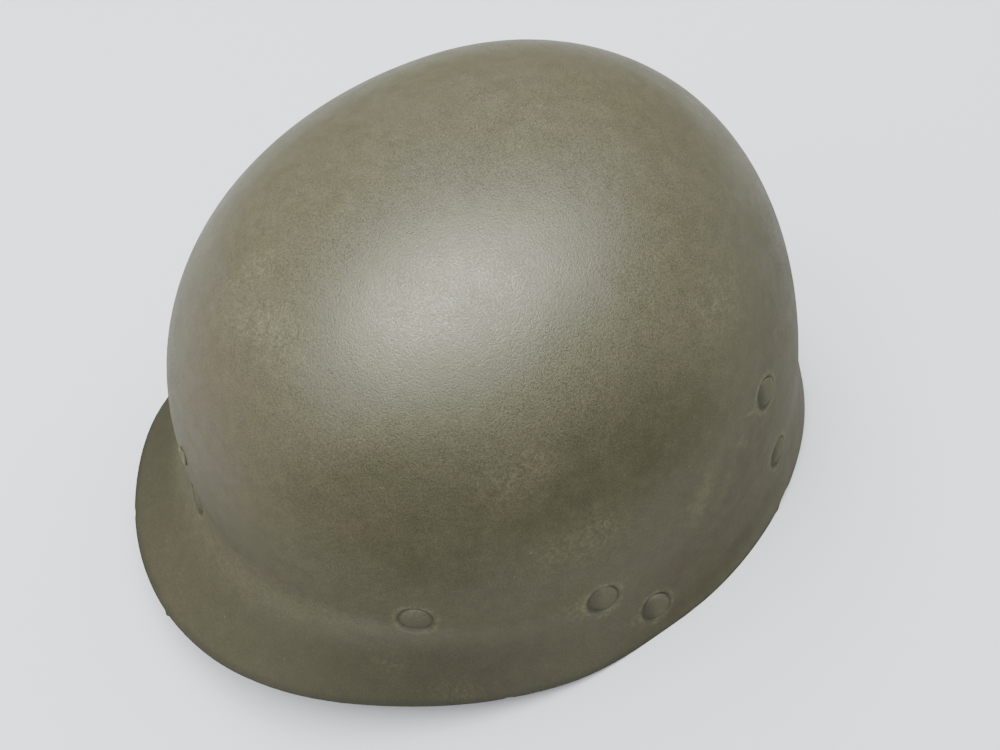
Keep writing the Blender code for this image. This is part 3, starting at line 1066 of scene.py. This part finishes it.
# SKIRT_SHADE is painted shade along the skirt
SKIRT_SHADE = 0.44
SKIRT_ROUGHNESS = 1.0       # the skirt mirrors nothing
SHELL_ROUGHNESS = 0.48
SPECK_SHADE = 0.5           # from the darkest speck to the palest
BLOTCH_SHADE = 0.14
MOTTLE_ROUGHNESS = 0.06
DUST_ROUGHNESS = 0.15
SPECK_ROUGHNESS = 0.32


def painted_height_shade(tree, place):
    """Painted shade by height: from LOW_SHADE near the rim to 1 high on the dome."""
    height = add_node(tree, "ShaderNodeSeparateXYZ", None, None, {0: place}).outputs["Z"]
    return add_node(
        tree, "ShaderNodeMapRange", {"interpolation_type": "SMOOTHSTEP"},
        {"From Min": LOW_HEIGHT, "From Max": UNSHADED_HEIGHT, "To Min": LOW_SHADE, "To Max": 1.0},
        {"Value": height},
    ).outputs["Result"]


def about(tree, noise, middle, span):
    """A noise turned into numbers of this span round this middle."""
    return calculated(tree, "MULTIPLY_ADD", noise, span, middle - span / 2)


def shaded(tree, colour, noises, height_shade):
    """Painted shade: darker and warmer low down, darker along the skirt, uneven by specks and
    blotches.
    """
    shade = calculated(
        tree, "MULTIPLY", about(tree, noises["speck"], 1.0, SPECK_SHADE),
        about(tree, noises["blotch"], 1.0, BLOTCH_SHADE))
    shade = calculated(tree, "MULTIPLY", shade, height_shade)
    # painted shade along the skirt
    skirt = calculated(tree, "MULTIPLY_ADD", stored(tree, "skirt"), -SKIRT_SHADE, 1.0)
    shade = calculated(tree, "MULTIPLY", shade, skirt)
    unshaded_share = calculated(
        tree, "MULTIPLY_ADD", height_shade, 1 / (1 - LOW_SHADE), -LOW_SHADE / (1 - LOW_SHADE))
    tint = layered(tree, LOW_TINT, PLAIN_TINT, unshaded_share)
    tinted = add_node(
        tree, "ShaderNodeVectorMath", {"operation": "MULTIPLY"}, None, {0: colour, 1: tint})
    return add_node(
        tree, "ShaderNodeVectorMath", {"operation": "SCALE"}, None,
        {0: tinted.outputs[0], "Scale": shade},
    ).outputs[0]


def dulled(tree, noises, height_shade):
    """The paint's roughness: duller low down, under dust, in specks and along the skirt."""
    dust = calculated(tree, "MULTIPLY", stored(tree, "dust"), noises["broken"])
    rough = about(tree, noises["mottle"], SHELL_ROUGHNESS, MOTTLE_ROUGHNESS)
    rough = calculated(tree, "MULTIPLY_ADD", dust, DUST_ROUGHNESS, rough)
    low_down = calculated(tree, "SUBTRACT", 1.0, height_shade)
    rough = calculated(tree, "MULTIPLY_ADD", low_down, LOW_ROUGHNESS / (1 - LOW_SHADE), rough)
    rough = calculated(tree, "ADD", rough, about(tree, noises["speck"], 0.0, SPECK_ROUGHNESS))
    to_dull = calculated(tree, "SUBTRACT", SKIRT_ROUGHNESS, rough)
    return calculated(tree, "MULTIPLY_ADD", stored(tree, "skirt"), to_dull, rough)


print("shade:", LOW_SHADE, "at", round(LOW_HEIGHT / MM), "mm, 1 at", round(UNSHADED_HEIGHT / MM), "mm")

# %% The olive paint
SHEEN_LEVEL = 0.08          # the paint is dusty, so it mirrors less than clean enamel
BUMP_ROWS = {
    # name: strength, distance
    "peel": (0.55, 0.09 * MM),
    "grain": (1.0, 0.08 * MM),
    "weave": (0.8, 0.12 * MM),
}


def bumped(tree, heights):
    """A normal that is bumped by several heights, one on top of the other."""
    links = {}
    for name, height in heights.items():
        strength, distance = BUMP_ROWS[name]
        bump = add_node(
            tree, "ShaderNodeBump", None, {"Strength": strength, "Distance": distance},
            {"Height": height, **links},
        )
        links = {"Normal": bump.outputs["Normal"]}
    return links["Normal"]


def olive_paint(name):
    """Flat olive enamel with its clouds, marks, flecks and grain."""
    material = bpy.data.materials.new(name)
    material.use_nodes = True
    tree = material.node_tree
    tree.nodes.clear()
    place = add_node(tree, "ShaderNodeTexCoord").outputs["Object"]
    noises = {noise: noise_at(tree, place, row) for noise, row in NOISE_ROWS.items()}
    # painted shade by height, also read for the roughness
    height_shade = painted_height_shade(tree, place)
    cloth = calculated(tree, "MULTIPLY", weave(tree, place), stored(tree, "inside"))
    shader = add_node(
        tree, "ShaderNodeBsdfPrincipled", None, {"IOR": 1.5, "Specular IOR Level": SHEEN_LEVEL},
        {
            "Base Color": shaded(tree, marked_olive(tree, noises), noises, height_shade),
            "Roughness": dulled(tree, noises, height_shade),
            "Normal": bumped(
                tree, {"peel": noises["peel"], "grain": noises["grain"], "weave": cloth}),
        },
    )
    add_node(tree, "ShaderNodeOutputMaterial", None, None, {"Surface": shader.outputs["BSDF"]})
    return material


shell_paint = olive_paint("sprayed_olive_enamel")
shell.data.materials.append(shell_paint)
rivet_paint = olive_paint("olive_enamel_on_rivets")
for piece in (*rivets, eyelet):
    piece.data.materials.append(rivet_paint)
print("nodes in the paint:", len(shell_paint.node_tree.nodes))

# %% [markdown]
# ## Floor and light
# The helmet lies on a pale, faintly blue sheet in a bright room. Broad discs above and behind it
# stand for the ceiling and the walls, and an even world light fills the rest. The paint mirrors one
# window as a wide soft sheen on the near side. A disc that only shows in reflections gives that
# sheen its place and width, so it can be set without changing the shading round it. For the same
# reason the other discs and the world light aren't mirrored.

# %% Floor
FLOOR_HALF = 6.0            # metres, wide enough to fill the photograph's view
FLOOR_PALE = linear("#dcdfe3")
FLOOR_ROUGHNESS = 0.9


def make_floor():
    """The pale sheet that the helmet lies on."""
    mesh = bpy.data.meshes.new("floor")
    corners = [(FLOOR_HALF * x, FLOOR_HALF * y, 0) for x, y in ((-1, -1), (1, -1), (1, 1), (-1, 1))]
    mesh.from_pydata(corners, [], [(0, 1, 2, 3)])
    floor = new_object("floor", mesh)
    material = bpy.data.materials.new("pale_sheet")
    material.use_nodes = True
    shader = material.node_tree.nodes["Principled BSDF"]
    shader.inputs["Base Color"].default_value = FLOOR_PALE
    shader.inputs["Roughness"].default_value = FLOOR_ROUGHNESS
    shader.inputs["Specular IOR Level"].default_value = 0.0
    mesh.materials.append(material)
    return floor


floor = make_floor()
print("floor laid at z = 0")

# %% Lights
LIGHT_ROWS = {
    # name: azimuth, elevation, distance, disc size, watts, lights surfaces, is mirrored in them
    "ceiling": (54, 89, 1.6, 2.4, 55, True, False),
    "rear wall": (180, 40, 2.0, 1.6, 12, True, False),
    "far wall": (-90, 40, 2.0, 1.6, 22, True, False),
    "near wall": (-2, 38, 1.2, 1.2, 10, True, False),
    "window sheen": (67, 55.5, 1.3, 1.5, 580, False, True),
}
WINDOW_COLOUR = linear("#f1f3e0")
WINDOW_FLATNESS = 0.62      # the window is wider than it is tall
ROOM_COLOUR = linear("#ffffff")
WORLD_COLOUR = linear("#f2f4f7")
WORLD_STRENGTH = 0.87


def make_light(name, row):
    """One soft disc of light, turned to face the helmet."""
    azimuth, elevation, distance, size, watts, lights_surfaces, is_mirrored = row
    data = bpy.data.lights.new(name, "AREA")
    data.shape = "ELLIPSE"
    data.size = size
    data.size_y = size * (WINDOW_FLATNESS if is_mirrored else 1)
    data.energy = watts
    light = bpy.data.objects.new(name, data)
    axes = view_axes(azimuth, elevation, 0)
    centre = Vector((0, 0, SHELL_HEIGHT / 2))
    turn = Matrix(axes).transposed().to_4x4()
    light.matrix_world = Matrix.Translation(centre + axes[2] * distance) @ turn
    data.color = WINDOW_COLOUR[:3] if is_mirrored else ROOM_COLOUR[:3]
    light.visible_diffuse = lights_surfaces
    light.visible_glossy = is_mirrored
    bpy.context.scene.collection.objects.link(light)
    return light


def set_world():
    """The even light of the room, which the paint doesn't mirror."""
    world = bpy.data.worlds.new("pale room")
    world.use_nodes = True
    background = world.node_tree.nodes["Background"]
    background.inputs["Color"].default_value = WORLD_COLOUR
    background.inputs["Strength"].default_value = WORLD_STRENGTH
    world.cycles_visibility.glossy = False
    bpy.context.scene.world = world


lights = [make_light(name, row) for name, row in LIGHT_ROWS.items()]
set_world()
print("lights:", [light.name for light in lights])
